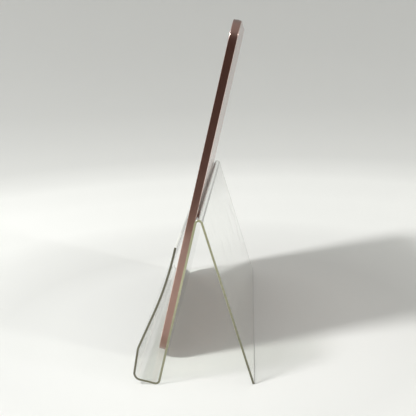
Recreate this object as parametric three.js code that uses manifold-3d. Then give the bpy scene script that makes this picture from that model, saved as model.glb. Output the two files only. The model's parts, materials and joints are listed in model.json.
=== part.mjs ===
// Clear bent-sheet stand with a slim metal-cased photo album standing in its pocket.
// Units are millimetres. +Z is up, +Y is towards the back, X runs along the sheet's bends.
// The origin is at floor level, in the middle of the stand's footprint.

import * as THREE from 'three';
import { mergeVertices } from 'three/addons/utils/BufferGeometryUtils.js';
import Module from 'manifold-3d';

const wasm = await Module();
wasm.setup();

// ---------------------------------------------------------------- stand: driving sizes

const standWidth = 226;
const sheetThickness = 1.5;

const lipTipLean = 14.6; // degrees from vertical, at the top edge of the lip
const lipLean = 26; // at the foot of the lip
const lipCurveRadius = 250;
const lipStraight = 27.5;
const kinkInnerRadius = 6;
const wallLean = 11.8;
const wallStraight = 17.5;
const frontBendInnerRadius = 4.25;
const pocketFloorStraight = 10.5;
const rearBendInnerRadius = 2;
const panelLean = 15;
const panelStraight = 117;
const apexInnerRadius = 1.4;
const legLean = 15;

// ---------------------------------------------------------------- album: driving sizes

const albumWidth = 192.5;
const albumHeight = 248;
const albumThickness = 5.8;
const albumCornerRadius = 17;
const albumEdgeChamfer = 0.4;
const albumOffCentre = -16.25; // the album stands off the middle of the stand
const backWall = 0.8;
const sideWall = 2.6;
const rimWidth = 1;

const restGap = 0.3; // between the album and the sheet it leans on
const fitGap = 0.3; // between pieces that touch inside the album
const keyGap = 0.15; // round a moving key

const glassThickness = 0.75;
const glassSetBack = 0.1;
const displayThickness = 1.2;
const displayBorder = 8;

const cellWidth = 76;
const cellHeight = 128;
const cellBottom = 42;
const cellCornerRadius = 3;

const ribbonWidth = 8;
const ribbonThickness = 0.3;

const boardWidth = 146;
const boardHeight = 40;
const boardThickness = 0.7;
const boardTopMargin = 26; // from the top edge of the album to the board
const boardCornerRadius = 2;
const bossHeight = 0.6;
const bossRadius = 2.4;
const screwRadius = 0.7;
const screwHeadRadius = 1.4;
const screwHeadHeight = 0.4;
const screwInset = 5;
const shieldWidth = 92;
const shieldHeight = 28;
const shieldWall = 0.25;

const speakerWidth = 40;
const speakerHeight = 15;
const speakerCornerRadius = 3;
const speakerFromMiddle = 36;
const grilleHoles = 7;
const grilleHoleRadius = 0.7;
const grillePitch = 3.2;

const socketWidth = 9;
const socketHeight = 3.2;
const socketDepth = 7;
const socketWall = 0.35;

const keyLength = 12;
const keyWidth = 1.8;
const keyProud = 0.35;
const keyTravel = 0.35;
const keyFlange = 1; // how far the flange reaches past the key at each end
const keyFlangeThickness = 0.6;
const powerKeyAt = 68; // along the top edge, from the middle
const volumeUpAt = 212; // along the side edge, from the bottom
const volumeDownAt = 196;
const switchThickness = 1;
const switchMargin = 2;

// ---------------------------------------------------------------- materials

function finish(colour, roughness, metalness, opacity = 1) {
  const transparent = opacity < 1;
  return new THREE.MeshStandardMaterial({ color: colour, roughness, metalness, opacity, transparent });
}

const clearSheet = finish(0xdfe3d2, 0.08, 0, 0.35);
const roseMetal = finish(0xb08478, 0.32, 1);
const coverGlass = finish(0x101012, 0.05, 0);
const displayFinish = finish(0x3a4650, 0.4, 0);
const ribbonFinish = finish(0xb07a30, 0.5, 0);
const cellFinish = finish(0x25262a, 0.6, 0);
const boardFinish = finish(0x1d3b2b, 0.6, 0);
const shieldFinish = finish(0xb9bbbe, 0.35, 1);
const screwFinish = finish(0x8e9094, 0.35, 1);
const speakerFinish = finish(0x1a1a1c, 0.55, 0);
const socketFinish = finish(0xc4c6c8, 0.3, 1);

// ---------------------------------------------------------------- small tools

const radians = THREE.MathUtils.degToRad;
const group = new THREE.Group();
const album = new THREE.Group();
group.add(album);

function addMesh(parent, name, geometry, material) {
  const mesh = new THREE.Mesh(geometry, material);
  mesh.name = name;
  parent.add(mesh);
  return mesh;
}

function toSolid(geometry) {
  const bare = geometry.clone();
  bare.deleteAttribute('normal');
  bare.deleteAttribute('uv');
  const merged = mergeVertices(bare, 1e-5);
  const vertProperties = new Float32Array(merged.attributes.position.array);
  const triVerts = new Uint32Array(merged.index.array);
  return new wasm.Manifold(new wasm.Mesh({ numProp: 3, vertProperties, triVerts }));
}

function toGeometry(solid) {
  const mesh = solid.getMesh();
  const geometry = new THREE.BufferGeometry();
  geometry.setAttribute('position', new THREE.BufferAttribute(mesh.vertProperties, 3));
  geometry.setIndex(new THREE.BufferAttribute(mesh.triVerts, 1));
  return geometry;
}

// ---------------------------------------------------------------- the bent sheet

// Follows the middle of the sheet. A heading is in degrees from +Y towards +Z.
class SheetPath {
  constructor(heading) {
    this.points = [{ y: 0, z: 0, heading }];
  }

  get last() {
    return this.points[this.points.length - 1];
  }

  straight(length) {
    const { y, z, heading } = this.last;
    const a = radians(heading);
    this.points.push({ y: y + length * Math.cos(a), z: z + length * Math.sin(a), heading });
    return this;
  }

  bend(innerRadius, heading, stepDegrees = 9) {
    const radius = innerRadius + sheetThickness / 2;
    const from = this.last;
    const turn = heading - from.heading;
    const side = Math.sign(turn);
    const a = radians(from.heading);
    this.centre = { y: from.y - side * radius * Math.sin(a), z: from.z + side * radius * Math.cos(a) };
    const steps = Math.ceil(Math.abs(turn) / stepDegrees);
    for (let i = 1; i <= steps; i += 1) {
      const at = from.heading + (turn * i) / steps;
      const b = radians(at);
      const y = this.centre.y + side * radius * Math.sin(b);
      const z = this.centre.z - side * radius * Math.cos(b);
      this.points.push({ y, z, heading: at });
    }
    return this;
  }
}

// Headings run down the front, along the pocket, up the panel and down the rear leg.
function tracePath() {
  const path = new SheetPath(270 - lipTipLean);
  path.bend(lipCurveRadius, 270 - lipLean, 1.2).straight(lipStraight);
  path.bend(kinkInnerRadius, 270 - wallLean, 4).straight(wallStraight);
  path.bend(frontBendInnerRadius, 360 - panelLean).straight(pocketFloorStraight);
  path.bend(rearBendInnerRadius, 450 - panelLean);
  const rearBend = { ...path.centre };
  path.straight(panelStraight);
  path.bend(apexInnerRadius, 270 + legLean, 10);
  return { path, rearBend };
}

// The rear leg is cut square and its lower corner meets the floor.
function finishLeg(path, rearBend) {
  const floor = rearBend.z - rearBendInnerRadius - sheetThickness;
  const endHeight = (sheetThickness / 2) * Math.sin(radians(legLean));
  const drop = path.last.z - floor - endHeight;
  path.straight(drop / Math.cos(radians(legLean)));
  return floor;
}

function sides(points, offset) {
  return points.map(({ y, z, heading }) => {
    const a = radians(heading);
    return new THREE.Vector2(y - offset * Math.sin(a), z + offset * Math.cos(a));
  });
}

function makeStand() {
  const { path, rearBend } = tracePath();
  const floor = finishLeg(path, rearBend);
  const half = sheetThickness / 2;
  const outline = [...sides(path.points, half), ...sides(path.points, -half).reverse()];
  const depths = outline.map((point) => point.x);
  const middle = (Math.min(...depths) + Math.max(...depths)) / 2;
  const shape = new THREE.Shape(outline.map((point) => new THREE.Vector2(point.x - middle, point.y - floor)));
  const geometry = new THREE.ExtrudeGeometry(shape, { depth: standWidth, bevelEnabled: false });
  const along = new THREE.Matrix4().makeBasis(
    new THREE.Vector3(0, 1, 0),
    new THREE.Vector3(0, 0, 1),
    new THREE.Vector3(1, 0, 0),
  );
  geometry.applyMatrix4(along);
  const mesh = addMesh(group, 'stand_sheet', geometry, clearSheet);
  mesh.position.x = -standWidth / 2;
  return { y: rearBend.y - middle, z: rearBend.z - floor };
}

// ---------------------------------------------------------------- album layout

// In the album's own frame X is across, Z is up its height from the bottom edge, and depth
// is counted from the back face towards the front, which faces -Y.

const boardTop = albumHeight - boardTopMargin;
const boardBottom = boardTop - boardHeight;
const glassFront = albumThickness - glassSetBack;
const glassBack = glassFront - glassThickness;
const ledge = glassBack - fitGap;
const displayFront = ledge;
const displayBack = displayFront - displayThickness;
const bayBack = backWall + fitGap;
const bayFront = displayBack - fitGap;
const midDepth = albumThickness / 2;

function plate(shape, backDepth, frontDepth, chamfer = 0) {
  const geometry = new THREE.ExtrudeGeometry(shape, {
    depth: frontDepth - backDepth - 2 * chamfer,
    bevelEnabled: chamfer > 0,
    bevelThickness: chamfer,
    bevelSize: chamfer,
    bevelOffset: -chamfer,
    bevelSegments: 1,
    curveSegments: 10,
  });
  geometry.translate(0, 0, backDepth + chamfer);
  geometry.rotateX(Math.PI / 2);
  return geometry;
}

function roundedRectangle(left, bottom, right, top, radius) {
  const shape = new THREE.Shape();
  const quarter = Math.PI / 2;
  shape.absarc(right - radius, bottom + radius, radius, -quarter, 0);
  shape.absarc(right - radius, top - radius, radius, 0, quarter);
  shape.absarc(left + radius, top - radius, radius, quarter, 2 * quarter);
  shape.absarc(left + radius, bottom + radius, radius, 2 * quarter, 3 * quarter);
  return shape;
}

function albumOutline(inset) {
  const half = albumWidth / 2 - inset;
  const radius = Math.max(albumCornerRadius - inset, 1);
  return roundedRectangle(-half, inset, half, albumHeight - inset, radius);
}

function centredRectangle(x, z, width, height, radius) {
  return roundedRectangle(x - width / 2, z - height / 2, x + width / 2, z + height / 2, radius);
}

function block(x, z, width, height, backDepth, frontDepth) {
  const geometry = new THREE.BoxGeometry(width, frontDepth - backDepth, height);
  geometry.translate(x, -(backDepth + frontDepth) / 2, z);
  return geometry;
}

function rod(radius, backDepth, frontDepth, x, z) {
  const geometry = new THREE.CylinderGeometry(radius, radius, frontDepth - backDepth, 16);
  geometry.translate(x, -(backDepth + frontDepth) / 2, z);
  return geometry;
}

function screwPlaces() {
  const x = boardWidth / 2 - screwInset;
  const low = boardBottom + screwInset;
  const high = boardTop - screwInset;
  return [[-x, low], [x, low], [-x, high], [x, high]];
}

const keys = {
  power: { edge: 'top', at: powerKeyAt },
  volumeUp: { edge: 'side', at: volumeUpAt },
  volumeDown: { edge: 'side', at: volumeDownAt },
};

// Turns a piece made for the top edge, centred on X = 0 with the edge at Z = 0, to its own edge.
function placeAtEdge(geometry, key) {
  if (key.edge === 'top') {
    geometry.translate(key.at, 0, albumHeight);
  } else {
    geometry.rotateY(-Math.PI / 2);
    geometry.translate(-albumWidth / 2, 0, key.at);
  }
  return geometry;
}

// A slot shape with round ends, that runs inwards from the edge.
function edgeSlot(length, width, outer, inner) {
  const shape = centredRectangle(0, -midDepth, length, width, width / 2 - 0.01);
  const geometry = new THREE.ExtrudeGeometry(shape, {
    depth: outer - inner,
    bevelEnabled: false,
    curveSegments: 6,
  });
  geometry.translate(0, 0, inner);
  return geometry;
}

// ---------------------------------------------------------------- album shell

function grilleCuts() {
  const cuts = [];
  for (const x of [-speakerFromMiddle, speakerFromMiddle]) {
    for (let i = 0; i < grilleHoles; i += 1) {
      const hole = new THREE.CylinderGeometry(grilleHoleRadius, grilleHoleRadius, albumHeight + 2, 10);
      hole.rotateX(Math.PI / 2);
      hole.translate(x + (i - (grilleHoles - 1) / 2) * grillePitch, -midDepth, albumHeight / 2);
      cuts.push(hole);
    }
  }
  return cuts;
}

function keyCuts() {
  return Object.values(keys).map((key) => {
    const slot = edgeSlot(keyLength + 2 * keyGap, keyWidth + 2 * keyGap, 1, -sideWall - 1);
    return placeAtEdge(slot, key);
  });
}

function socketCut() {
  const shape = centredRectangle(0, -midDepth, socketWidth + 2 * fitGap, socketHeight + 2 * fitGap,
    socketHeight / 2);
  const geometry = new THREE.ExtrudeGeometry(shape, {
    depth: sideWall + 2,
    bevelEnabled: false,
    curveSegments: 6,
  });
  geometry.translate(0, 0, -1);
  return geometry;
}

function makeShell() {
  let shell = toSolid(plate(albumOutline(0), 0, albumThickness, albumEdgeChamfer));
  const mouth = toSolid(plate(albumOutline(rimWidth), ledge, albumThickness + 1));
  const bay = toSolid(plate(albumOutline(sideWall), backWall, albumThickness + 1));
  shell = shell.subtract(mouth).subtract(bay);
  for (const [x, z] of screwPlaces()) {
    shell = shell.add(toSolid(rod(bossRadius, backWall / 2, backWall + bossHeight, x, z)));
    const hole = rod(screwRadius + fitGap, backWall, albumThickness, x, z);
    shell = shell.subtract(toSolid(hole));
  }
  for (const cut of [...grilleCuts(), ...keyCuts(), socketCut()]) {
    shell = shell.subtract(toSolid(cut));
  }
  addMesh(album, 'album_shell', toGeometry(shell), roseMetal);
}

// ---------------------------------------------------------------- glass and display

function makeFront() {
  addMesh(album, 'front_glass', plate(albumOutline(rimWidth + fitGap), glassBack, glassFront), coverGlass);
  const panel = plate(albumOutline(displayBorder), displayBack, displayFront);
  addMesh(album, 'display_panel', panel, displayFinish);
}

// ---------------------------------------------------------------- cells, board and ribbons

function makeCells() {
  const middle = ribbonWidth / 2 + fitGap + cellWidth / 2;
  for (const [name, x] of [['battery_left', -middle], ['battery_right', middle]]) {
    const shape = centredRectangle(x, cellBottom + cellHeight / 2, cellWidth, cellHeight, cellCornerRadius);
    addMesh(album, name, plate(shape, bayBack, bayFront), cellFinish);
  }
}

const boardBack = backWall + bossHeight + fitGap;
const boardFront = boardBack + boardThickness;

function makeBoard() {
  const z = (boardTop + boardBottom) / 2;
  const shape = centredRectangle(0, z, boardWidth, boardHeight, boardCornerRadius);
  let board = toSolid(plate(shape, boardBack, boardFront));
  for (const [x, screwZ] of screwPlaces()) {
    board = board.subtract(toSolid(rod(screwRadius + fitGap, 0, albumThickness, x, screwZ)));
  }
  addMesh(album, 'mainboard', toGeometry(board), boardFinish);
  const shieldBack = boardFront + fitGap;
  const can = toSolid(block(0, z, shieldWidth, shieldHeight, shieldBack, bayFront));
  const inside = block(0, z, shieldWidth - 2 * shieldWall, shieldHeight - 2 * shieldWall,
    shieldBack - 1, bayFront - shieldWall);
  addMesh(album, 'board_shield', toGeometry(can.subtract(toSolid(inside))), shieldFinish);
}

function makeScrews() {
  const under = boardFront + fitGap;
  const tip = backWall + fitGap;
  screwPlaces().forEach(([x, z], index) => {
    const profile = [
      [0, tip],
      [screwRadius, tip],
      [screwRadius, under],
      [screwHeadRadius, under],
      [screwHeadRadius, under + screwHeadHeight],
      [0, under + screwHeadHeight],
    ].map(([radius, depth]) => new THREE.Vector2(radius, depth));
    const geometry = new THREE.LatheGeometry(profile, 16);
    geometry.rotateX(Math.PI);
    geometry.translate(x, 0, z);
    addMesh(album, `board_screw_${index + 1}`, geometry, screwFinish);
  });
}

function makeRibbons() {
  const top = boardBottom - fitGap;
  const bottom = socketDepth + fitGap;
  const charge = block(0, (top + bottom) / 2, ribbonWidth - 2 * fitGap, top - bottom,
    bayBack, bayBack + ribbonThickness);
  addMesh(album, 'charge_ribbon', charge, ribbonFinish);
  const shape = new THREE.Shape();
  const low = boardTop + fitGap;
  const high = low + ribbonWidth;
  shape.moveTo(low, bayBack);
  shape.lineTo(high, bayBack);
  shape.lineTo(high, bayFront);
  shape.lineTo(low, bayFront);
  shape.lineTo(low, bayFront - ribbonThickness);
  shape.lineTo(high - ribbonThickness, bayFront - ribbonThickness);
  shape.lineTo(high - ribbonThickness, bayBack + ribbonThickness);
  shape.lineTo(low, bayBack + ribbonThickness);
  shape.closePath();
  const fold = new THREE.ExtrudeGeometry(shape, { depth: 2 * ribbonWidth, bevelEnabled: false });
  const across = new THREE.Matrix4().makeBasis(
    new THREE.Vector3(0, 0, 1),
    new THREE.Vector3(0, -1, 0),
    new THREE.Vector3(1, 0, 0),
  );
  fold.applyMatrix4(across);
  fold.translate(-ribbonWidth, 0, 0);
  addMesh(album, 'display_ribbon', fold, ribbonFinish);
}

// ---------------------------------------------------------------- speakers and socket

function makeSpeakers() {
  const low = sideWall + fitGap + speakerHeight / 2;
  const high = albumHeight - low;
  const places = {
    speaker_lower_left: [-speakerFromMiddle, low],
    speaker_lower_right: [speakerFromMiddle, low],
    speaker_upper_left: [-speakerFromMiddle, high],
    speaker_upper_right: [speakerFromMiddle, high],
  };
  for (const [name, [x, z]] of Object.entries(places)) {
    const shape = centredRectangle(x, z, speakerWidth, speakerHeight, speakerCornerRadius);
    addMesh(album, name, plate(shape, bayBack, bayFront), speakerFinish);
  }
}

function makeSocket() {
  const outer = centredRectangle(0, -midDepth, socketWidth, socketHeight, socketHeight / 2 - 0.01);
  const tube = new THREE.ExtrudeGeometry(outer, {
    depth: socketDepth - fitGap,
    bevelEnabled: false,
    curveSegments: 6,
  });
  tube.translate(0, 0, fitGap);
  const boreHeight = socketHeight - 2 * socketWall;
  const boreWidth = socketWidth - 2 * socketWall;
  const bore = centredRectangle(0, -midDepth, boreWidth, boreHeight, boreHeight / 2 - 0.01);
  const inside = new THREE.ExtrudeGeometry(bore, {
    depth: socketDepth - socketWall,
    bevelEnabled: false,
    curveSegments: 6,
  });
  let socket = toSolid(tube).subtract(toSolid(inside));
  const tongue = block(0, socketDepth / 2 + 0.5, socketWidth - 2.4, socketDepth - 1, midDepth - 0.35,
    midDepth + 0.35);
  socket = socket.add(toSolid(tongue));
  addMesh(album, 'charge_socket', toGeometry(socket), socketFinish);
}

// ---------------------------------------------------------------- keys and their switches

const flangeOuter = -sideWall - keyGap;
const flangeInner = flangeOuter - keyFlangeThickness;
const switchOuter = flangeInner - keyTravel - keyGap;

function makeKey(name, key) {
  const cap = toSolid(edgeSlot(keyLength, keyWidth, keyProud, flangeInner));
  const flange = edgeSlot(keyLength + 2 * keyFlange, keyWidth + 2 * fitGap, flangeOuter, flangeInner);
  const geometry = toGeometry(cap.add(toSolid(flange)));
  addMesh(album, name, placeAtEdge(geometry, key), roseMetal);
}

function makeSwitch(name, length, key) {
  const geometry = new THREE.BoxGeometry(length, keyWidth, switchThickness);
  geometry.translate(0, -midDepth, switchOuter - switchThickness / 2);
  addMesh(album, name, placeAtEdge(geometry, key), speakerFinish);
}

function makeKeys() {
  makeKey('power_button', keys.power);
  makeKey('volume_up_button', keys.volumeUp);
  makeKey('volume_down_button', keys.volumeDown);
  const margin = 2 * switchMargin;
  makeSwitch('power_switch', keyLength + margin, keys.power);
  const both = { edge: 'side', at: (volumeUpAt + volumeDownAt) / 2 };
  makeSwitch('volume_switch', volumeUpAt - volumeDownAt + keyLength + margin, both);
}

// ---------------------------------------------------------------- assembly

// The album's lower back edge sits in the rear bend and its back lies along the panel.
function standAlbumInPocket(rearBend) {
  const lean = radians(panelLean);
  const reach = rearBendInnerRadius - restGap;
  album.rotation.x = -lean;
  album.position.x = albumOffCentre;
  album.position.y = rearBend.y + reach * Math.cos(lean);
  album.position.z = rearBend.z - reach * Math.sin(lean);
}

const rearBend = makeStand();
makeShell();
makeFront();
makeCells();
makeBoard();
makeScrews();
makeRibbons();
makeSpeakers();
makeSocket();
makeKeys();
standAlbumInPocket(rearBend);

export default group;
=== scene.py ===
"""Looks of a clear bent-sheet stand that holds a slim rose metal photo album.

Laid out as a Blender add-on and run as a script. Everything is in metres.
"""

import json
import math

import bmesh
import bpy
from bpy.props import FloatProperty, FloatVectorProperty, IntProperty, PointerProperty
from mathutils import Matrix, Vector


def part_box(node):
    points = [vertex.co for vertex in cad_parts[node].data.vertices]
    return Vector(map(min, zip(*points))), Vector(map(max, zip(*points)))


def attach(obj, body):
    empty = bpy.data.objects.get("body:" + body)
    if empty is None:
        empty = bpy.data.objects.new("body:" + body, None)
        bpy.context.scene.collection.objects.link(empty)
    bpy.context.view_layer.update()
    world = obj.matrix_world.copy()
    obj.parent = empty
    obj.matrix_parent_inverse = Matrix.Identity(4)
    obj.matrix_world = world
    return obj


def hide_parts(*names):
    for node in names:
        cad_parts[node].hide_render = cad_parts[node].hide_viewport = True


bl_info = {
    "name": "Photo album stand",
    "version": (1, 0, 0),
    "blender": (4, 5, 0),
    "location": "3D View > Sidebar > Album stand",
    "description": "Makes a clear bent-sheet stand with a slim rose metal photo album in it",
    "category": "Object",
}

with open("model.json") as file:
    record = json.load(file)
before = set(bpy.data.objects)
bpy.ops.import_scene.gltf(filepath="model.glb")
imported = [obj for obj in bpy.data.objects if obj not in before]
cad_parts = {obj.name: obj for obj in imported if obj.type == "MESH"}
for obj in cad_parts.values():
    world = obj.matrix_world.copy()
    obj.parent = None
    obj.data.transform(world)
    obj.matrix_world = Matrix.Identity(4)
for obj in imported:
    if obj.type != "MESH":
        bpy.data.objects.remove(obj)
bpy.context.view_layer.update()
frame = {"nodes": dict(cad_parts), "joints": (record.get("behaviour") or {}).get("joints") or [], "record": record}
JOINTS = {joint["name"]: joint for joint in frame["joints"]}

# ------------------------------------------------------------------ settings


def length(name, description, default):
    return FloatProperty(name=name, description=description, default=default, unit="LENGTH")


def angle(name, description, degrees):
    return FloatProperty(
        name=name, description=description, default=math.radians(degrees), subtype="ANGLE"
    )


def power(name, description, default):
    return FloatProperty(name=name, description=description, default=default, unit="POWER")


def spot(name, description, default):
    return FloatVectorProperty(
        name=name, description=description, default=default, subtype="XYZ", unit="LENGTH"
    )


def colour(name, description, default):
    return FloatVectorProperty(
        name=name, description=description, default=default, subtype="COLOR", min=0, max=1
    )


class SheetSettings(bpy.types.PropertyGroup):
    thickness: length("Thickness", "Thickness of the bent sheet", 0.0015)
    edge_round: length("Edge round", "Flame-polished rounding of the cut edges", 0.00018)
    tip_lean: angle("Tip lean", "Lean of the lip from vertical at its top edge", 14.6)
    lip_lean: angle("Lip lean", "Lean of the lip from vertical at its foot", 26)
    lip_radius: length("Lip radius", "Radius of the lip's long curve", 0.25)
    lip_straight: length("Lip straight", "Straight stretch at the foot of the lip", 0.0275)
    kink_radius: length("Kink radius", "Inner radius between the lip and the front wall", 0.006)
    wall_lean: angle("Wall lean", "Lean of the front wall from vertical", 11.8)
    wall_straight: length("Wall straight", "Straight stretch of the front wall", 0.0175)
    front_radius: length("Front bend radius", "Inner radius of the front bend", 0.00425)
    floor_straight: length("Floor straight", "Straight stretch of the pocket's floor", 0.0105)
    rear_radius: length("Rear bend radius", "Inner radius of the bend under the album", 0.002)
    panel_straight: length("Panel straight", "Straight stretch of the leaning panel", 0.117)
    apex_radius: length("Top bend radius", "Inner radius of the fold at the top", 0.0014)
    leg_lean: angle("Leg lean", "Lean of the rear leg from vertical", 15)
    face_tint: colour("Face tint", "Colour of the clear sheet", (0.972, 0.978, 0.962))
    # Cut-edge colours for painted light: painted shade where little light leaves the edge, painted glow where much
    # does.
    edge_painted_shade: colour("Edge dark", "Cut edge where little light leaves it", (0.085, 0.080, 0.052))
    edge_painted_glow: colour("Edge light", "Cut edge where it glows", (0.385, 0.385, 0.245))


class AlbumSettings(bpy.types.PropertyGroup):
    corner_radius: length("Corner radius", "Radius of the case's four corners", 0.017)
    edge_round: length("Edge round", "Rounding of the case's front and back edges", 0.0004)
    rim: length("Rim", "Width of the metal rim round the glass", 0.001)
    side_wall: length("Side wall", "Thickness of the case's side walls", 0.0026)
    back_wall: length("Back wall", "Thickness of the case's back", 0.0008)
    ledge_depth: length("Ledge depth", "From the front edge down to the glass's seat", 0.00115)
    slot_gap: length("Slot gap", "Gap round the keys and the socket", 0.00015)
    grille_radius: length("Grille radius", "Radius of the speaker holes", 0.0007)
    grille_pitch: length("Grille pitch", "Spacing of the speaker holes", 0.0032)
    grille_holes: IntProperty(name="Grille holes", description="Holes over each speaker", default=7)
    metal: colour("Metal", "Anodised rose metal", (0.38, 0.225, 0.185))
    cut_metal: colour("Cut metal", "Bright metal of the rounded edges", (0.80, 0.60, 0.54))
    glass: colour("Glass", "Black-backed cover glass", (0.006, 0.006, 0.007))


class StageSettings(bpy.types.PropertyGroup):
    floor_radius: length("Floor radius", "Flat part of the paper sweep", 0.42)
    sweep_radius: length("Sweep radius", "Radius of the curve up into the wall", 0.85)
    wall_height: length("Wall height", "Height of the paper wall", 1.9)
    eye: spot("Eye", "Where the camera stands", (0.49727, 0.04454, 0.22233))
    yaw: angle("Yaw", "Turn of the camera away from -X", 4.424)
    pitch: angle("Pitch", "How far the camera looks down", 14.038)
    roll: angle("Roll", "Roll of the camera", -2.331)
    focal: FloatProperty(name="Focal length", description="In millimetres", default=53.491)
    aim: spot("Aim", "Where both lamps point", (0, 0, 0.1))
    key_spot: spot("Key place", "Where the key lamp hangs", (0.527, -0.915, 1.35))
    key_size: length("Key size", "Diameter of the key lamp", 0.27)
    key_power: power("Key power", "Power of the key lamp", 19.6)
    fill_spot: spot("Fill place", "Where the fill lamp hangs", (0.40, 0.95, 0.78))
    fill_size: length("Fill size", "Diameter of the fill lamp", 0.12)
    fill_power: power("Fill power", "Power of the fill lamp", 2.7)
    card_spot: spot("Card place", "Middle of the dark card that the metal reflects", (0.40, 0.0, 0.27))
    card_width: length("Card width", "Width of the dark card", 1.2)
    card_height: length("Card height", "Height of the dark card", 0.54)
    # The card's colour is the painted reflection that the metal's side shows.
    card_painted_reflection: colour("Card tint", "Colour of the dark card", (0.125, 0.075, 0.065))
    sky: FloatProperty(name="Sky", description="Strength of the light from above", default=0.5)


class AlbumStandSettings(bpy.types.PropertyGroup):
    sheet: PointerProperty(type=SheetSettings)
    album: PointerProperty(type=AlbumSettings)
    stage: PointerProperty(type=StageSettings)


# ------------------------------------------------------------------ mesh helpers


def object_from(bm, name, materials, sharp_degrees=30):
    """Turns bm into a smooth-shaded object with sharp edges where faces meet steeply."""
    bmesh.ops.recalc_face_normals(bm, faces=bm.faces)
    mesh = bpy.data.meshes.new(name)
    bm.to_mesh(mesh)
    bm.free()
    for material in materials:
        mesh.materials.append(material)
    mesh.shade_smooth()
    mesh.set_sharp_from_angle(angle=math.radians(sharp_degrees))
    piece = bpy.data.objects.new(name, mesh)
    bpy.context.scene.collection.objects.link(piece)
    return piece


def weight_normals(piece):
    """Keeps large flat faces flat where they meet rounded edges."""
    modifier = piece.modifiers.new("flat faces stay flat", "WEIGHTED_NORMAL")
    modifier.keep_sharp = True
    modifier.weight = 100


def add_ring(bm, points):
    return [bm.verts.new(point) for point in points]


def bridge(bm, ring_a, ring_b, slot=0, closed=True):
    """Joins two rings of the same length with four-sided faces."""
    faces = []
    count = len(ring_a)
    for i in range(count if closed else count - 1):
        j = (i + 1) % count
        face = bm.faces.new((ring_a[i], ring_a[j], ring_b[j], ring_b[i]))
        face.material_index = slot
        faces.append(face)
    return faces


def cap(bm, ring, slot=0):
    face = bm.faces.new(ring)
    face.material_index = slot
    return face


def rounded_rectangle(x0, x1, z0, z1, radius, steps):
    """Corner arcs of a rectangle, anticlockwise from the lower right one."""
    points = []
    corners = ((x1, z0, -1, 1, 270), (x1, z1, -1, -1, 0), (x0, z1, 1, -1, 90), (x0, z0, 1, 1, 180))
    for x, z, side, rise, start in corners:
        for i in range(steps + 1):
            turn = math.radians(start + 90 * i / steps)
            points.append(
                (x + side * radius + radius * math.cos(turn), z + rise * radius + radius * math.sin(turn))
            )
    return points


# ------------------------------------------------------------------ node helpers


class Shading:
    """A material with one Principled shader, and short ways to add what feeds it."""

    def __init__(self, name):
        self.material = bpy.data.materials.new(name)
        self.material.use_nodes = True
        self.tree = self.material.node_tree
        self.tree.nodes.clear()
        self.output = self.add("ShaderNodeOutputMaterial")
        self.shader = self.add("ShaderNodeBsdfPrincipled")
        self.link(self.shader.outputs[0], self.output.inputs["Surface"])
        self.place = self.add("ShaderNodeTexCoord").outputs["Object"]

    def add(self, kind, **settings):
        node = self.tree.nodes.new(kind)
        for key, value in settings.items():
            setattr(node, key, value)
        return node

    def link(self, source, target):
        self.tree.links.new(source, target)

    def set(self, **values):
        for key, value in values.items():
            socket = self.shader.inputs[key.replace("_", " ")]
            socket.default_value = (*value, 1) if hasattr(value, "__len__") and len(value) == 3 else value
        return self

    def group(self, name, **values):
        node = self.add("ShaderNodeGroup", node_tree=GROUPS[name]())
        self.link(self.place, node.inputs["Place"])
        for key, value in values.items():
            node.inputs[key.replace("_", " ")].default_value = value
        return node

    def bump(self, height, distance, strength=1.0):
        node = self.add("ShaderNodeBump")
        node.inputs["Distance"].default_value = distance
        node.inputs["Strength"].default_value = strength
        self.link(height, node.inputs["Height"])
        self.link(node.outputs["Normal"], self.shader.inputs["Normal"])
        return node

    def mix_colours(self, factor, first, second):
        node = self.add("ShaderNodeMix", data_type="RGBA")
        self.link(factor, node.inputs["Factor"])
        node.inputs["A"].default_value = (*first, 1)
        node.inputs["B"].default_value = (*second, 1)
        self.link(node.outputs["Result"], self.shader.inputs["Base Color"])
        return node


def open_group(name, inputs, outputs):
    """A new node group with named sockets, each given as (name, default)."""
    group = bpy.data.node_groups.new(name, "ShaderNodeTree")
    group.interface.new_socket("Place", in_out="INPUT", socket_type="NodeSocketVector")
    for label, default in inputs:
        socket = group.interface.new_socket(label, in_out="INPUT", socket_type="NodeSocketFloat")
        socket.default_value = default
    for label in outputs:
        group.interface.new_socket(label, in_out="OUTPUT", socket_type="NodeSocketFloat")
    return group, group.nodes.new("NodeGroupInput"), group.nodes.new("NodeGroupOutput")


def math_node(group, operation, first, second):
    node = group.nodes.new("ShaderNodeMath")
    node.operation = operation
    for socket, value in zip(node.inputs, (first, second)):
        if isinstance(value, (int, float)):
            socket.default_value = value
        else:
            group.links.new(value, socket)
    return node.outputs[0]


def noise_node(group, place, scale, detail):
    node = group.nodes.new("ShaderNodeTexNoise")
    node.inputs["Detail"].default_value = detail
    group.links.new(place, node.inputs["Vector"])
    group.links.new(scale, node.inputs["Scale"])
    return node.outputs["Fac"]


def between(group, value, low, high, out_low, out_high):
    """Maps value from low..high to out_low..out_high."""
    node = group.nodes.new("ShaderNodeMapRange")
    group.links.new(value, node.inputs["Value"])
    for label, bound in (("From Min", low), ("From Max", high), ("To Min", out_low), ("To Max", out_high)):
        if isinstance(bound, (int, float)):
            node.inputs[label].default_value = bound
        else:
            group.links.new(bound, node.inputs[label])
    return node.outputs["Result"]


def mottle_group():
    """Soft patches: a mask, and a value that wanders between Low and High."""
    inputs = [("Patch Size", 0.03), ("Low", 0.3), ("High", 0.4)]
    group, source, sink = open_group("soft mottle", inputs, ["Value", "Mask"])
    scale = math_node(group, "DIVIDE", 1.0, source.outputs["Patch Size"])
    noise = noise_node(group, source.outputs["Place"], scale, 3.0)
    mask = between(group, noise, 0.3, 0.7, 0.0, 1.0)
    value = between(group, noise, 0.3, 0.7, source.outputs["Low"], source.outputs["High"])
    group.links.new(mask, sink.inputs["Mask"])
    group.links.new(value, sink.inputs["Value"])
    return group


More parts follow.
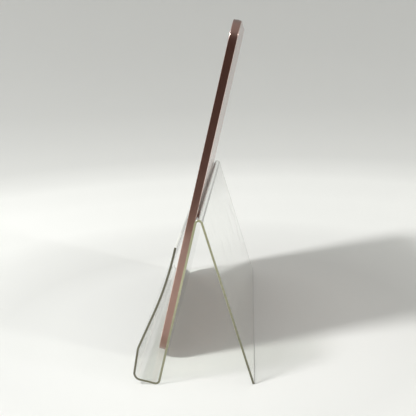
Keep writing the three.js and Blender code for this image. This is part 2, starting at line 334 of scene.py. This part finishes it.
def grain_group():
    """Fine blasted grain: a height between 0 and 1."""
    group, source, sink = open_group("blasted grain", [("Grain Size", 0.00025)], ["Height"])
    scale = math_node(group, "DIVIDE", 1.0, source.outputs["Grain Size"])
    noise = noise_node(group, source.outputs["Place"], scale, 1.0)
    group.links.new(noise, sink.inputs["Height"])
    return group


def handling_group():
    """What hands and air leave on a polished face: a roughness and a mask of dust specks."""
    inputs = [("Clean", 0.02), ("Smudged", 0.1), ("Smudge Size", 0.02), ("Speck Size", 0.004)]
    group, source, sink = open_group("handling marks", inputs, ["Roughness", "Specks"])
    scale = math_node(group, "DIVIDE", 1.0, source.outputs["Smudge Size"])
    noise = noise_node(group, source.outputs["Place"], scale, 4.0)
    patch = between(group, noise, 0.5, 0.8, 0.0, 1.0)
    clean = source.outputs["Clean"]
    rough = between(group, patch, 0.0, 1.0, clean, source.outputs["Smudged"])
    cells = group.nodes.new("ShaderNodeTexVoronoi")
    group.links.new(source.outputs["Place"], cells.inputs["Vector"])
    cell_scale = math_node(group, "DIVIDE", 1.0, source.outputs["Speck Size"])
    group.links.new(cell_scale, cells.inputs["Scale"])
    specks = between(group, cells.outputs["Distance"], 0.03, 0.05, 1.0, 0.0)
    group.links.new(rough, sink.inputs["Roughness"])
    group.links.new(specks, sink.inputs["Specks"])
    return group


def built_once(maker):
    """Builds a node group the first time it is asked for."""
    kept = []

    def get():
        if not kept:
            kept.append(maker())
        return kept[0]

    return get


GROUPS = {
    "mottle": built_once(mottle_group),
    "grain": built_once(grain_group),
    "handling": built_once(handling_group),
}


def fill_ramp(node, tones, tint=(1, 1, 1)):
    """Sets a ramp's stops from (place, tone) pairs whose last place is the ramp's end."""
    stops = node.color_ramp.elements
    end = tones[-1][0]
    for place, tone in tones[1:-1]:
        stops.new(place / end)
    for stop, (_, tone) in zip(stops, tones):
        stop.color = (*(tone * part for part in tint), 1)


# ------------------------------------------------------------------ materials


SLANT_STEEPNESS = 4  # how suddenly the sheet's loss grows as light slants


def let_light_through(shading, tint, slanting_tint):
    """Light shines straight through the clear sheet, and loses more of it where it strikes at a slant."""
    path = shading.add("ShaderNodeLightPath")
    slant = shading.add("ShaderNodeLayerWeight")
    slant.inputs["Blend"].default_value = 0.5
    steep = shading.add("ShaderNodeMath", operation="POWER")
    steep.inputs[1].default_value = SLANT_STEEPNESS
    shading.link(slant.outputs["Facing"], steep.inputs[0])
    loss = shading.add("ShaderNodeMix", data_type="RGBA")
    shading.link(steep.outputs[0], loss.inputs["Factor"])
    loss.inputs["A"].default_value = (*tint, 1)
    loss.inputs["B"].default_value = (*slanting_tint, 1)
    clear = shading.add("ShaderNodeBsdfTransparent")
    shading.link(loss.outputs["Result"], clear.inputs["Color"])
    seen = shading.shader.outputs[0]
    for ray in ("Is Diffuse Ray", "Is Shadow Ray"):
        mix = shading.add("ShaderNodeMixShader")
        shading.link(path.outputs[ray], mix.inputs["Fac"])
        shading.link(seen, mix.inputs[1])
        shading.link(clear.outputs[0], mix.inputs[2])
        seen = mix.outputs[0]
    shading.link(seen, shading.output.inputs["Surface"])


def clear_face_material(sheet):
    shading = Shading("clear sheet face")
    shading.set(Base_Color=tuple(sheet.face_tint), Transmission_Weight=1.0, IOR=1.49)
    marks = shading.group("handling", Clean=0.0, Smudged=0.008, Smudge_Size=0.03)
    shading.link(marks.outputs["Roughness"], shading.shader.inputs["Roughness"])
    waves = shading.group("mottle", Patch_Size=0.035)
    shading.bump(waves.outputs["Mask"], 0.00002)
    let_light_through(shading, (0.96, 0.965, 0.955), (0.30, 0.31, 0.30))
    return shading.material


EDGE_PAINTED_GLOW = (  # share of the way along the sheet from the lip, and how much painted glow the cut edge gets there; low values are painted shade
    (0.0, 0.05),
    (0.22, 0.16),
    (0.27, 0.10),
    (0.32, 0.30),
    (0.35, 0.55),
    (0.42, 0.62),
    (0.52, 1.0),
    (0.655, 0.85),
    (0.68, 0.8),
    (0.80, 0.62),
    (0.93, 0.32),
    (1.0, 0.12),
)


def cut_edge_material(sheet):
    shading = Shading("clear sheet cut edge")
    shading.set(IOR=1.49, Coat_Weight=0.4, Coat_Roughness=0.08)
    along = shading.add("ShaderNodeAttribute", attribute_name="along")
    ramp = shading.add("ShaderNodeValToRGB")
    shading.link(along.outputs["Fac"], ramp.inputs["Fac"])
    fill_ramp(ramp, EDGE_PAINTED_GLOW)
    # The cut edge's base colour runs from painted shade to painted glow along the sheet.
    shading.mix_colours(ramp.outputs["Color"], sheet.edge_painted_shade, sheet.edge_painted_glow)
    mottle = shading.group("mottle", Patch_Size=0.006, Low=0.18, High=0.34)
    shading.link(mottle.outputs["Value"], shading.shader.inputs["Roughness"])
    shading.bump(mottle.outputs["Mask"], 0.00001)
    return shading.material


LONG_EDGE_PAINTED_GLOW = (  # share of the way along the sheet from the lip, and how pale the painted glow makes the edge there
    (0.0, 0.93),
    (0.1, 0.93),
    (0.9, 0.40),
    (1.0, 0.40),
)


def long_edge_material():
    """The two long edges, with painted glow for the light that the sheet guides to them: pale near the lip, greyer
    towards the foot.
    """
    shading = Shading("clear sheet long edge")
    shading.set(IOR=1.49, Specular_IOR_Level=0.2)
    along = shading.add("ShaderNodeAttribute", attribute_name="along")
    ramp = shading.add("ShaderNodeValToRGB")
    shading.link(along.outputs["Fac"], ramp.inputs["Fac"])
    fill_ramp(ramp, LONG_EDGE_PAINTED_GLOW, (0.99, 1.0, 0.95))
    shading.link(ramp.outputs["Color"], shading.shader.inputs["Base Color"])
    mottle = shading.group("mottle", Patch_Size=0.008, Low=0.35, High=0.5)
    shading.link(mottle.outputs["Value"], shading.shader.inputs["Roughness"])
    return shading.material


def metal_material(name, tint, low, high, grain=0.000006):
    shading = Shading(name)
    shading.set(Metallic=1.0, Coat_Weight=0.8, Coat_Roughness=0.12)
    mottle = shading.group("mottle", Patch_Size=0.045, Low=low, High=high)
    darker = tuple(0.96 * part for part in tint)
    shading.mix_colours(mottle.outputs["Mask"], tint, darker)
    shading.link(mottle.outputs["Value"], shading.shader.inputs["Roughness"])
    texture = shading.group("grain", Grain_Size=0.0003)
    shading.bump(texture.outputs["Height"], grain, 0.5)
    return shading.material


def glass_front_material(tint):
    shading = Shading("black-backed glass")
    shading.set(IOR=1.52, Coat_Weight=0.3, Coat_Roughness=0.02)
    marks = shading.group("handling", Clean=0.012, Smudged=0.035, Smudge_Size=0.025)
    shading.link(marks.outputs["Roughness"], shading.shader.inputs["Roughness"])
    shading.mix_colours(marks.outputs["Specks"], tint, (0.03, 0.03, 0.03))
    return shading.material


def inner_material(name, tint, rough, metallic=0.0, patch=0.006):
    """Finish of a part inside the case: a mottled colour over a fine moulded or printed grain."""
    shading = Shading(name)
    shading.set(Metallic=metallic)
    mottle = shading.group("mottle", Patch_Size=patch, Low=rough, High=min(rough + 0.15, 1))
    lighter = tuple(min(1.25 * part + 0.01, 1) for part in tint)
    shading.mix_colours(mottle.outputs["Mask"], tint, lighter)
    shading.link(mottle.outputs["Value"], shading.shader.inputs["Roughness"])
    texture = shading.group("grain", Grain_Size=0.0004)
    shading.bump(texture.outputs["Height"], 0.00002, 0.5)
    return shading.material


# ------------------------------------------------------------------ the bent sheet


class SheetPath:
    """Follows the middle of the sheet. Headings are in radians from +Y towards +Z."""

    def __init__(self, heading, thickness):
        self.thickness = thickness
        self.points = [(0.0, 0.0, heading)]

    def straight(self, distance, steps=1):
        y, z, heading = self.points[-1]
        for i in range(1, steps + 1):
            reach = distance * i / steps
            self.points.append((y + reach * math.cos(heading), z + reach * math.sin(heading), heading))
        return self

    def bend(self, inner_radius, heading, step=math.radians(3)):
        radius = inner_radius + self.thickness / 2
        y, z, start = self.points[-1]
        turn = heading - start
        side = math.copysign(1, turn)
        centre_y = y - side * radius * math.sin(start)
        centre_z = z + side * radius * math.cos(start)
        self.low = centre_z - radius - self.thickness / 2
        steps = math.ceil(abs(turn) / step)
        for i in range(1, steps + 1):
            at = start + turn * i / steps
            self.points.append(
                (centre_y + side * radius * math.sin(at), centre_z - side * radius * math.cos(at), at)
            )
        return self


def trace_sheet(sheet):
    """The sheet's middle line from the lip's top edge to the foot of the rear leg."""
    down, level, up = math.radians(270), math.radians(360), math.radians(450)
    up_lean = math.atan2(*JOINTS["album_lift"]["axis"][1:])
    path = SheetPath(down - sheet.tip_lean, sheet.thickness)
    path.bend(sheet.lip_radius, down - sheet.lip_lean, math.radians(0.6))
    path.straight(sheet.lip_straight, 3)
    path.bend(sheet.kink_radius, down - sheet.wall_lean).straight(sheet.wall_straight, 2)
    path.bend(sheet.front_radius, level - up_lean).straight(sheet.floor_straight)
    path.bend(sheet.rear_radius, up - up_lean)
    floor = path.low
    path.straight(sheet.panel_straight, 8)
    path.bend(sheet.apex_radius, down + sheet.leg_lean)
    end_height = sheet.thickness / 2 * math.sin(sheet.leg_lean)
    path.straight((path.points[-1][1] - floor - end_height) / math.cos(sheet.leg_lean), 8)
    return path.points, floor


def section(points, half, inset, trim):
    """Outline of the sheet's end: one side down the path, the other side back."""

    def beside(point, offset, shift=0.0):
        y, z, heading = point
        return (
            y + shift * math.cos(heading) - offset * math.sin(heading),
            z + shift * math.sin(heading) + offset * math.cos(heading),
        )

    first, last = points[0], points[-1]
    side = half - inset
    narrow = side - trim
    there = [beside(first, side, inset + trim)] + [beside(p, side) for p in points[1:-1]]
    there += [beside(last, side, -inset - trim)]
    foot = [beside(last, narrow, -inset), beside(last, -narrow, -inset)]
    back = [beside(last, -side, -inset - trim)] + [beside(p, -side) for p in points[-2:0:-1]]
    back += [beside(first, -side, inset + trim)]
    tip = [beside(first, -narrow, inset), beside(first, narrow, inset)]
    return there + foot + back + tip


def path_shares(points):
    """How far along the sheet each point of the path lies, from 0 to 1."""
    lengths = [0.0]
    for (y0, z0, _), (y1, z1, _) in zip(points, points[1:]):
        lengths.append(lengths[-1] + math.hypot(y1 - y0, z1 - z0))
    return [distance / lengths[-1] for distance in lengths]


def make_sheet(sheet):
    points, floor = trace_sheet(sheet)
    low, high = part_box("stand_sheet")
    half = sheet.thickness / 2
    trim = sheet.edge_round
    outline = section(points, half, 0.0, trim)
    shift = (low.y + high.y) / 2 - (min(p[0] for p in outline) + max(p[0] for p in outline)) / 2
    shares = path_shares(points)
    around = shares + [1.0, 1.0] + shares[::-1] + [0.0, 0.0]
    widths = [low.x + trim] + [low.x + (high.x - low.x) * i / 12 for i in range(1, 12)] + [high.x - trim]
    bm = bmesh.new()
    along = bm.verts.layers.float.new("along")

    def ring_at(x, inset):
        ring = add_ring(bm, [(x, y + shift, z - floor) for y, z in section(points, half, inset, trim)])
        for vertex, share in zip(ring, around):
            vertex[along] = share
        return ring

    rings = [ring_at(low.x, trim)] + [ring_at(x, 0.0) for x in widths] + [ring_at(high.x, trim)]
    count = len(points)
    cut = {count - 1, count, count + 1, 2 * count + 1, 2 * count + 2, 2 * count + 3}
    for number, (ring_a, ring_b) in enumerate(zip(rings, rings[1:])):
        end = number in (0, len(rings) - 2)
        for index, face in enumerate(bridge(bm, ring_a, ring_b)):
            face.material_index = 1 if end else 2 if index in cut else 0
    for ring in (rings[0], rings[-1]):
        close_section(bm, ring, count)
    finishes = [clear_face_material(sheet), cut_edge_material(sheet), long_edge_material()]
    piece = object_from(bm, "clear_sheet", finishes, 40)
    weight_normals(piece)
    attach(piece, "stand")
    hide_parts("stand_sheet")


def close_section(bm, ring, count):
    """Fills a cut end with a strip of faces across the sheet's thickness."""
    there = ring[:count]
    foot = ring[count : count + 2]
    back = ring[count + 2 : 2 * count + 2][::-1]
    tip = ring[2 * count + 2 :]
    for i in range(count - 1):
        bm.faces.new((there[i], there[i + 1], back[i + 1], back[i])).material_index = 1
    bm.faces.new((there[-1], foot[0], foot[1], back[-1])).material_index = 1
    bm.faces.new((back[0], tip[0], tip[1], there[0])).material_index = 1


# ------------------------------------------------------------------ the album's own frame

# X runs across, up runs along the case from its lower edge, and front points out of the glass.
UP = Vector(JOINTS["album_lift"]["axis"]).normalized()
ACROSS = Vector((1, 0, 0))
FRONT = ACROSS.cross(UP)
ALBUM_TURN = Matrix((ACROSS, UP, FRONT)).transposed()


def album_box(node):
    """Lowest and highest corner of a CAD node, as (across, up, front)."""
    corners = [ALBUM_TURN.transposed() @ v.co for v in frame["nodes"][node].data.vertices]
    low = Vector([min(c[i] for c in corners) for i in range(3)])
    high = Vector([max(c[i] for c in corners) for i in range(3)])
    return low, high


def lean(bm):
    """Turns a mesh made in the album's own frame to where the album stands."""
    bmesh.ops.transform(bm, matrix=ALBUM_TURN.to_4x4(), verts=bm.verts)
    return bm


def plate_ring(bm, low, high, inset, radius, front, steps=20):
    outline = rounded_rectangle(
        low.x + inset, high.x - inset, low.y + inset, high.y - inset, max(radius - inset, 0.0003), steps
    )
    return add_ring(bm, [(x, up, front) for x, up in outline])


# ------------------------------------------------------------------ case


def case_profile(album, back, front):
    """(inset, depth, finish) of each ring of the case, from the back face round to the bay's floor."""
    radius = album.edge_round
    ledge = front - album.ledge_depth
    bay = back + album.back_wall
    soft = radius / 8
    turns = [math.radians(90 * i / 5) for i in range(6)]
    rings = [(radius * (1 - math.sin(t)), back + radius * (1 - math.cos(t)), 1) for t in turns]
    rings += [(radius * (1 - math.cos(t)), front - radius * (1 - math.sin(t)), 1) for t in turns]
    rings[0] = (radius, back, 0)
    rings[len(turns)] = (0.0, front - radius, 0)
    rings += [(album.rim - soft, front, 0), (album.rim, front - soft, 1), (album.rim, ledge, 2)]
    return rings + [(album.side_wall, ledge, 2), (album.side_wall, bay, 2)]


NEARLY_HALF = 0.4995  # share of a pill's width that its corners take, so that no two corners meet


def pill_outline(long, wide, steps):
    return rounded_rectangle(-long / 2, long / 2, -wide / 2, wide / 2, wide * NEARLY_HALF, steps)


def pill_cutter(name, centre, across, along, out, long, wide, deep):
    """A rod with a pill-shaped section, that reaches deep both ways along out."""
    outline = pill_outline(long, wide, 8)
    bm = bmesh.new()
    ends = []
    for reach in (-deep, deep):
        ends.append(add_ring(bm, [centre + along * a + across * b + out * reach for a, b in outline]))
    bridge(bm, *ends)
    cap(bm, ends[0])
    cap(bm, ends[1])
    return object_from(lean(bm), name, [])


def key_face(joint, node):
    """Where a key meets the case: its middle, its long way, its short way and the way out."""
    inward = ALBUM_TURN.transposed() @ Vector(JOINTS[joint]["axis"])
    out = -inward.normalized()
    low, high = album_box(node)
    middle = (low + high) / 2
    long_way = Vector((0, 1, 0)) if abs(out.x) > 0.5 else Vector((1, 0, 0))
    short_way = Vector((0, 0, 1))
    edge = max(out.dot(low), out.dot(high))
    middle += out * (edge - out.dot(middle))
    return middle, long_way, short_way, out


KEYS = {
    "power_press": ("power_button", "power_key"),
    "volume_up_press": ("volume_up_button", "volume_up_key"),
    "volume_down_press": ("volume_down_button", "volume_down_key"),
}
KEY_LENGTH = 0.012
KEY_WIDTH = 0.0018
KEY_CROWN = 0.00015  # rounding of a key's outer face
KEY_FLANGE_REACH = 0.0003  # how far a key's flange stands out all round
KEY_FLANGE_DEPTH = 0.0006


KEY_SLOT_REACH = 0.005
GRILLE_REACH = 0.004


def edge_cutter(name, x, up, front, long, wide, reach):
    """A cutter for the case's lower or upper edge."""
    centre = Vector((x, up, front))
    across, along, out = Vector((0, 0, 1)), Vector((1, 0, 0)), Vector((0, 1, 0))
    return pill_cutter(name, centre, across, along, out, long, wide, reach)


def case_cutters(album, low, high):
    cutters = []
    gap = 2 * album.slot_gap
    for joint, (node, _) in KEYS.items():
        middle, along, across, out = key_face(joint, node)
        long, wide = KEY_LENGTH + gap, KEY_WIDTH + gap
        cutters.append(pill_cutter(node + "_slot", middle, across, along, out, long, wide, KEY_SLOT_REACH))
    socket_low, socket_high = album_box("charge_socket")
    middle = (socket_low + socket_high) / 2
    long = socket_high.x - socket_low.x + 2 * gap
    wide = socket_high.z - socket_low.z + 2 * gap
    cutters.append(edge_cutter("socket_hole", middle.x, low.y, middle.z, long, wide, KEY_SLOT_REACH))
    hole = 2 * album.grille_radius
    for node in [name for name in frame["nodes"] if name.startswith("speaker")]:
        speaker_low, speaker_high = album_box(node)
        middle = (speaker_low + speaker_high) / 2
        edge_at = low.y if middle.y < (low.y + high.y) / 2 else high.y
        for i in range(album.grille_holes):
            x = middle.x + (i - (album.grille_holes - 1) / 2) * album.grille_pitch
            depth = (low.z + high.z) / 2
            cutters.append(edge_cutter("grille_hole", x, edge_at, depth, hole, hole, GRILLE_REACH))
    return cutters


def cut_away(piece, cutters):
    """Cuts every cutter out of piece and removes the cutters."""
    joined = bmesh.new()
    for cutter in cutters:
        joined.from_mesh(cutter.data)
        mesh = cutter.data
        bpy.data.objects.remove(cutter)
        bpy.data.meshes.remove(mesh)
    tool = object_from(joined, "cutters", [])
    modifier = piece.modifiers.new("holes", "BOOLEAN")
    modifier.operation = "DIFFERENCE"
    modifier.solver = "EXACT"
    modifier.object = tool
    depsgraph = bpy.context.evaluated_depsgraph_get()
    result = bpy.data.meshes.new_from_object(piece.evaluated_get(depsgraph))
    piece.modifiers.clear()
    old = piece.data
    piece.data = result
    result.name = piece.name
    bpy.data.meshes.remove(old)
    mesh = tool.data
    bpy.data.objects.remove(tool)
    bpy.data.meshes.remove(mesh)


def make_case(album):
    low, high = album_box("album_shell")
    bm = bmesh.new()
    profile = case_profile(album, low.z, high.z)
    rings = [plate_ring(bm, low, high, inset, album.corner_radius, depth) for inset, depth, _ in profile]
    for (ring_a, ring_b), (_, _, slot) in zip(zip(rings, rings[1:]), profile[1:]):
        bridge(bm, ring_a, ring_b, slot)
    cap(bm, rings[0][::-1])
    cap(bm, rings[-1], 2)
    metals = [
        metal_material("rose anodised metal", album.metal, 0.33, 0.37),
        metal_material("rose cut edge", album.cut_metal, 0.2, 0.26, 0.000001),
        # The bay's inner walls, ledge and floor get the rose metal darkened to 0.8: painted shade in the recess.
        metal_material("rose metal inside with painted shade", tuple(0.8 * part for part in album.metal), 0.4, 0.5),
    ]
    piece = object_from(lean(bm), "album_case", metals)
    cut_away(piece, case_cutters(album, low, high))
    piece.data.shade_smooth()
    piece.data.set_sharp_from_angle(angle=math.radians(30))
    weight_normals(piece)
    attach(piece, "album")
    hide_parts("album_shell")


# ------------------------------------------------------------------ glass front


GLASS_EDGE_ROUND = 0.00028
GLASS_BACK_TRIM = 0.0001


def make_glass(album):
    low, high = album_box("front_glass")
    radius = album.corner_radius - album.rim
    bm = bmesh.new()
    profile = [(GLASS_BACK_TRIM, low.z), (0.0, low.z + GLASS_BACK_TRIM)]
    for i in range(5):
        turn = math.radians(90 * i / 4)
        inset = GLASS_EDGE_ROUND * (1 - math.cos(turn))
        profile.append((inset, high.z - GLASS_EDGE_ROUND * (1 - math.sin(turn))))
    rings = [plate_ring(bm, low, high, inset, radius, depth) for inset, depth in profile]
    for ring_a, ring_b in zip(rings, rings[1:]):
        bridge(bm, ring_a, ring_b)
    cap(bm, rings[0][::-1])
    cap(bm, rings[-1])
    piece = object_from(lean(bm), "album_glass", [glass_front_material(album.glass)], 50)
    weight_normals(piece)
    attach(piece, "album")
    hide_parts("front_glass")


# ------------------------------------------------------------------ keys


def make_key(joint, node, body, metals):
    """A pill-shaped key with a rounded crown, and the flange that keeps it in the case."""
    middle, along, across, out = key_face(joint, node)
    low, high = album_box(node)
    depth = abs(out.dot(high - low))
    bm = bmesh.new()

    def ring_at(grow, reach):
        long, wide = KEY_LENGTH + 2 * grow, KEY_WIDTH + 2 * grow
        outline = pill_outline(long, wide, 10)
        return add_ring(bm, [middle + along * a + across * b - out * reach for a, b in outline])

    steps = []
    for turn in [math.radians(30 * i) for i in range(4)]:
        steps.append((KEY_CROWN * (math.sin(turn) - 1), KEY_CROWN * (1 - math.cos(turn))))
    seat = depth - KEY_FLANGE_DEPTH
    steps += [(0.0, seat), (KEY_FLANGE_REACH, seat), (KEY_FLANGE_REACH, depth)]
    rings = [ring_at(grow, reach) for grow, reach in steps]
    for ring_a, ring_b in zip(rings, rings[1:]):
        bridge(bm, ring_a, ring_b)
    cap(bm, rings[0])
    cap(bm, rings[-1])
    piece = object_from(lean(bm), node + "_cap", metals, 50)
    weight_normals(piece)
    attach(piece, body)
    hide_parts(node)


# ------------------------------------------------------------------ parts inside the case

INNER_FINISHES = {  # record slot: colour, roughness, metallic, size of its patches
    "display": ((0.012, 0.012, 0.014), 0.35, 0.0, 0.05),
    "ribbon": ((0.50, 0.24, 0.05), 0.35, 0.0, 0.004),
    "cell_wrap": ((0.02, 0.02, 0.023), 0.4, 0.0, 0.02),
    "board": ((0.012, 0.07, 0.04), 0.4, 0.0, 0.003),
    "shield_metal": ((0.62, 0.62, 0.60), 0.25, 1.0, 0.01),
    "screw_metal": ((0.40, 0.40, 0.42), 0.25, 1.0, 0.001),
    "speaker_case": ((0.014, 0.014, 0.015), 0.5, 0.0, 0.006),
    "socket_metal": ((0.64, 0.64, 0.62), 0.22, 1.0, 0.003),
}


def finish_inner_parts():
    slots = {part["node"]: part["material_slot"] for part in frame["record"]["subparts"]}
    made = {}
    for slot_name, (tint, rough, metallic, patch) in INNER_FINISHES.items():
        made[slot_name] = inner_material(slot_name.replace("_", " "), tint, rough, metallic, patch)
    for node, piece in frame["nodes"].items():
        if slots.get(node) in made:
            piece.data.materials.clear()
            piece.data.materials.append(made[slots[node]])


# ------------------------------------------------------------------ stage


PAPER_PAINTED_LIGHT = (  # distance from the middle in metres, and the paper's pale tone there with painted light and shade: a bright ring round the stand, a painted shade dip close to it, darker up the wall
    (0.0, 0.86),
    (0.13, 0.87),
    (0.18, 0.82),
    (0.26, 0.88),
    (0.33, 0.97),
    (0.45, 0.99),
    (0.55, 0.95),
    (0.65, 0.77),
    (0.84, 0.645),
    (0.99, 0.60),
    (1.11, 0.58),
    (1.27, 0.45),
)


def paper_material():
    """Pale paper with painted light: brightest in a ring round the stand, and painted shade greying it up the
    wall.
    """
    shading = Shading("paper with painted light")
    shading.set(Roughness=0.9, Specular_IOR_Level=0.1)
    flat = shading.add("ShaderNodeVectorMath", operation="MULTIPLY")
    shading.link(shading.place, flat.inputs[0])
    flat.inputs[1].default_value = (1, 1, 0)
    reach = shading.add("ShaderNodeVectorMath", operation="LENGTH")
    shading.link(flat.outputs["Vector"], reach.inputs[0])
    share = shading.add("ShaderNodeMapRange")
    shading.link(reach.outputs["Value"], share.inputs["Value"])
    share.inputs["From Max"].default_value = PAPER_PAINTED_LIGHT[-1][0]
    ramp = shading.add("ShaderNodeValToRGB")
    shading.link(share.outputs["Result"], ramp.inputs["Fac"])
    fill_ramp(ramp, PAPER_PAINTED_LIGHT, (0.995, 1.0, 0.972))
    shading.link(ramp.outputs["Color"], shading.shader.inputs["Base Color"])
    return shading.material


def make_sweep(stage):
    """A round paper sweep: a flat floor that curves up into a wall on every side."""
    profile = [(stage.floor_radius * i / 6, 0.0) for i in range(1, 7)]
    for i in range(1, 17):
        turn = math.radians(90 * i / 16)
        out = stage.floor_radius + stage.sweep_radius * math.sin(turn)
        profile.append((out, stage.sweep_radius * (1 - math.cos(turn))))
    profile.append((profile[-1][0], stage.wall_height))
    bm = bmesh.new()
    sides = 96
    centre = bm.verts.new((0, 0, 0))
    rings = []
    for reach, height in profile:
        turns = [math.radians(360 * i / sides) for i in range(sides)]
        rings.append(add_ring(bm, [(reach * math.cos(t), reach * math.sin(t), height) for t in turns]))
    for i in range(sides):
        bm.faces.new((centre, rings[0][i], rings[0][(i + 1) % sides]))
    for ring_a, ring_b in zip(rings, rings[1:]):
        bridge(bm, ring_b, ring_a)
    piece = object_from(bm, "paper_sweep", [paper_material()], 60)
    piece.data.flip_normals()
    return piece


def make_card(name, centre, size, tint):
    """An upright dark card that shows only in reflections: a painted reflection of dark surroundings on the metal
    and glass.
    """
    bm = bmesh.new()
    half_y, half_z = size[0] / 2, size[1] / 2
    corners = ((-half_y, -half_z), (half_y, -half_z), (half_y, half_z), (-half_y, half_z))
    ring = add_ring(bm, [Vector(centre) + Vector((0, y, z)) for y, z in corners])
    cap(bm, ring)
    shading = Shading(name)
    shading.set(Base_Color=tint, Roughness=0.9, Specular_IOR_Level=0.0)
    piece = object_from(bm, name, [shading.material])
    piece.visible_camera = False
    piece.visible_diffuse = False
    piece.visible_transmission = False
    piece.visible_shadow = False


def make_lamp(name, place, target, size, strength):
    lamp = bpy.data.lights.new(name, "AREA")
    lamp.shape = "DISK"
    lamp.size = size
    lamp.energy = strength
    holder = bpy.data.objects.new(name, lamp)
    holder.location = place
    holder.rotation_euler = (Vector(target) - Vector(place)).to_track_quat("-Z", "Y").to_euler()
    holder.visible_camera = False
    bpy.context.scene.collection.objects.link(holder)


def make_sky(strength):
    world = bpy.data.worlds.new("soft sky")
    world.use_nodes = True
    background = world.node_tree.nodes["Background"]
    background.inputs["Color"].default_value = (1.0, 1.0, 0.985, 1)
    background.inputs["Strength"].default_value = strength
    bpy.context.scene.world = world


def make_camera(stage):
    turn = Matrix.Rotation(stage.yaw, 3, "Z")
    ahead = turn @ Vector((-1, 0, 0))
    right = turn @ Vector((0, 1, 0))
    up = Vector((0, 0, 1))
    ahead, up = (
        ahead * math.cos(stage.pitch) - up * math.sin(stage.pitch),
        up * math.cos(stage.pitch) + ahead * math.sin(stage.pitch),
    )
    right, up = (
        right * math.cos(stage.roll) + up * math.sin(stage.roll),
        up * math.cos(stage.roll) - right * math.sin(stage.roll),
    )
    data = bpy.data.cameras.new("camera")
    data.lens = stage.focal
    data.clip_start = 0.01
    camera = bpy.data.objects.new("camera", data)
    camera.matrix_world = Matrix.Translation(stage.eye) @ Matrix((right, up, -ahead)).transposed().to_4x4()
    bpy.context.scene.collection.objects.link(camera)
    bpy.context.scene.camera = camera


def make_stage(stage):
    make_sweep(stage)
    make_card("dark_card", stage.card_spot, (stage.card_width, stage.card_height), tuple(stage.card_painted_reflection))
    make_lamp("key_lamp", stage.key_spot, stage.aim, stage.key_size, stage.key_power)
    make_lamp("fill_lamp", stage.fill_spot, stage.aim, stage.fill_size, stage.fill_power)
    make_sky(stage.sky)
    make_camera(stage)
    bpy.context.scene.view_settings.view_transform = "Standard"


# ------------------------------------------------------------------ operators and panel


class ALBUMSTAND_OT_sheet(bpy.types.Operator):
    """Make the clear bent sheet"""

    bl_idname = "album_stand.make_sheet"
    bl_label = "Make sheet"

    def execute(self, context):
        make_sheet(context.scene.album_stand.sheet)
        return {"FINISHED"}


class ALBUMSTAND_OT_case(bpy.types.Operator):
    """Make the album's metal case"""

    bl_idname = "album_stand.make_case"
    bl_label = "Make case"

    def execute(self, context):
        make_case(context.scene.album_stand.album)
        return {"FINISHED"}


class ALBUMSTAND_OT_glass(bpy.types.Operator):
    """Make the album's glass front"""

    bl_idname = "album_stand.make_glass"
    bl_label = "Make glass"

    def execute(self, context):
        make_glass(context.scene.album_stand.album)
        return {"FINISHED"}


class ALBUMSTAND_OT_keys(bpy.types.Operator):
    """Make the power and volume keys"""

    bl_idname = "album_stand.make_keys"
    bl_label = "Make keys"

    def execute(self, context):
        metals = [metal_material("rose key metal", context.scene.album_stand.album.metal, 0.2, 0.26)]
        for joint, (node, body) in KEYS.items():
            make_key(joint, node, body, metals)
        return {"FINISHED"}


class ALBUMSTAND_OT_inner(bpy.types.Operator):
    """Give the parts inside the case their finishes"""

    bl_idname = "album_stand.finish_inner"
    bl_label = "Finish inner parts"

    def execute(self, context):
        finish_inner_parts()
        return {"FINISHED"}


class ALBUMSTAND_OT_stage(bpy.types.Operator):
    """Make the paper sweep, the lights and the camera"""

    bl_idname = "album_stand.make_stage"
    bl_label = "Make stage"

    def execute(self, context):
        make_stage(context.scene.album_stand.stage)
        return {"FINISHED"}


OPERATORS = (
    ALBUMSTAND_OT_stage,
    ALBUMSTAND_OT_sheet,
    ALBUMSTAND_OT_case,
    ALBUMSTAND_OT_glass,
    ALBUMSTAND_OT_keys,
    ALBUMSTAND_OT_inner,
)


class ALBUMSTAND_PT_panel(bpy.types.Panel):
    """Lists the pieces and the stage"""

    bl_label = "Album stand"
    bl_space_type = "VIEW_3D"
    bl_region_type = "UI"
    bl_category = "Album stand"

    def draw(self, context):
        for operator in OPERATORS:
            self.layout.operator(operator.bl_idname)
        settings = context.scene.album_stand
        for group in (settings.sheet, settings.album, settings.stage):
            box = self.layout.box()
            for name in group.__annotations__:
                box.prop(group, name)


CLASSES = (SheetSettings, AlbumSettings, StageSettings, AlbumStandSettings, *OPERATORS, ALBUMSTAND_PT_panel)


def register():
    for cls in CLASSES:
        bpy.utils.register_class(cls)
    bpy.types.Scene.album_stand = PointerProperty(type=AlbumStandSettings)


def unregister():
    del bpy.types.Scene.album_stand
    for cls in reversed(CLASSES):
        bpy.utils.unregister_class(cls)


def main():
    register()
    bpy.ops.album_stand.make_stage()
    bpy.ops.album_stand.make_sheet()
    bpy.ops.album_stand.make_case()
    bpy.ops.album_stand.make_glass()
    bpy.ops.album_stand.make_keys()
    bpy.ops.album_stand.finish_inner()


if __name__ == "__main__":
    main()
